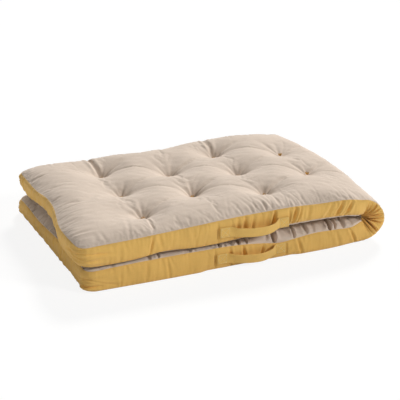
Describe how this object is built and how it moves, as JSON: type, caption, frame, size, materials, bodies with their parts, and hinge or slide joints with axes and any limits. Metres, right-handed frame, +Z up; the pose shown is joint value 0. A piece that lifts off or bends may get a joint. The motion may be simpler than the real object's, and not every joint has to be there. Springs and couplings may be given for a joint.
{
  "type": "futon mattress",
  "caption": "Thin tufted futon mattress folded once on itself, with boxed sides and a strap handle on each half.",
  "frame": {"origin": "on the floor, on the flat underside below the middle of the folded mattress", "axes": "+X from the open end to the fold, +Y from the handle side to the back, +Z up"},
  "size_m": [0.903, 0.6438, 0.1641],
  "materials": {
    "panel_cloth": "plain-woven cotton, matt",
    "band_cloth": "plain-woven cotton, matt",
    "strap_webbing": "folded and stitched cotton strap, matt",
    "batting": "loose fibre",
    "tuft_thread": "knotted cotton thread"
  },
  "bodies": {
    "lower_half": {"lower_outer_panel": "panel_cloth", "lower_inner_panel": "panel_cloth", "lower_front_band": "band_cloth", "lower_back_band": "band_cloth", "lower_end_band": "band_cloth", "lower_outer_batting": "batting", "lower_core_batting": "batting", "lower_inner_batting": "batting", "lower_ties": "tuft_thread", "lower_outer_tufts": "tuft_thread", "lower_inner_tufts": "tuft_thread", "lower_handle_ends": "strap_webbing"},
    "upper_half": {"upper_outer_panel": "panel_cloth", "upper_inner_panel": "panel_cloth", "upper_front_band": "band_cloth", "upper_back_band": "band_cloth", "upper_end_band": "band_cloth", "upper_outer_batting": "batting", "upper_core_batting": "batting", "upper_inner_batting": "batting", "upper_ties": "tuft_thread", "upper_outer_tufts": "tuft_thread", "upper_inner_tufts": "tuft_thread", "upper_handle_ends": "strap_webbing"},
    "fold_1": {"fold_1_outer_panel": "panel_cloth", "fold_1_inner_panel": "panel_cloth", "fold_1_front_band": "band_cloth", "fold_1_back_band": "band_cloth", "fold_1_batting": "batting"},
    "fold_2": {"fold_2_outer_panel": "panel_cloth", "fold_2_inner_panel": "panel_cloth", "fold_2_front_band": "band_cloth", "fold_2_back_band": "band_cloth", "fold_2_batting": "batting"},
    "fold_3": {"fold_3_outer_panel": "panel_cloth", "fold_3_inner_panel": "panel_cloth", "fold_3_front_band": "band_cloth", "fold_3_back_band": "band_cloth", "fold_3_batting": "batting", "fold_ties": "tuft_thread", "fold_outer_tufts": "tuft_thread", "fold_inner_tufts": "tuft_thread"},
    "fold_4": {"fold_4_outer_panel": "panel_cloth", "fold_4_inner_panel": "panel_cloth", "fold_4_front_band": "band_cloth", "fold_4_back_band": "band_cloth", "fold_4_batting": "batting"},
    "fold_5": {"fold_5_outer_panel": "panel_cloth", "fold_5_inner_panel": "panel_cloth", "fold_5_front_band": "band_cloth", "fold_5_back_band": "band_cloth", "fold_5_batting": "batting"},
    "lower_handle": {"lower_handle_loop": "strap_webbing"},
    "upper_handle": {"upper_handle_loop": "strap_webbing"}
  },
  "joints": [
    {"name": "fold_hinge_1", "type": "hinge", "parent": "lower_half", "child": "fold_1", "pos_m": [0.39562, 0, 0.00239], "axis": [0, 1, 0], "range_deg": [0, 30]},
    {"name": "fold_hinge_2", "type": "hinge", "parent": "fold_1", "child": "fold_2", "pos_m": [0.427, 0, 0.0205], "axis": [0, 1, 0], "range_deg": [0, 30]},
    {"name": "fold_hinge_3", "type": "hinge", "parent": "fold_2", "child": "fold_3", "pos_m": [0.44511, 0, 0.05188], "axis": [0, 1, 0], "range_deg": [0, 30]},
    {"name": "fold_hinge_4", "type": "hinge", "parent": "fold_3", "child": "fold_4", "pos_m": [0.44511, 0, 0.08812], "axis": [0, 1, 0], "range_deg": [0, 30]},
    {"name": "fold_hinge_5", "type": "hinge", "parent": "fold_4", "child": "fold_5", "pos_m": [0.427, 0, 0.1195], "axis": [0, 1, 0], "range_deg": [0, 30]},
    {"name": "fold_hinge_6", "type": "hinge", "parent": "fold_5", "child": "upper_half", "pos_m": [0.39562, 0, 0.13761], "axis": [0, 1, 0], "range_deg": [0, 30]},
    {"name": "lower_handle_lift", "type": "hinge", "parent": "lower_half", "child": "lower_handle", "pos_m": [0.01998, -0.308, 0.032], "axis": [-1, 0, 0], "range_deg": [0, 45]},
    {"name": "upper_handle_lift", "type": "hinge", "parent": "upper_half", "child": "upper_handle", "pos_m": [0.01998, -0.308, 0.108], "axis": [-1, 0, 0], "range_deg": [0, 45]}
  ]
}
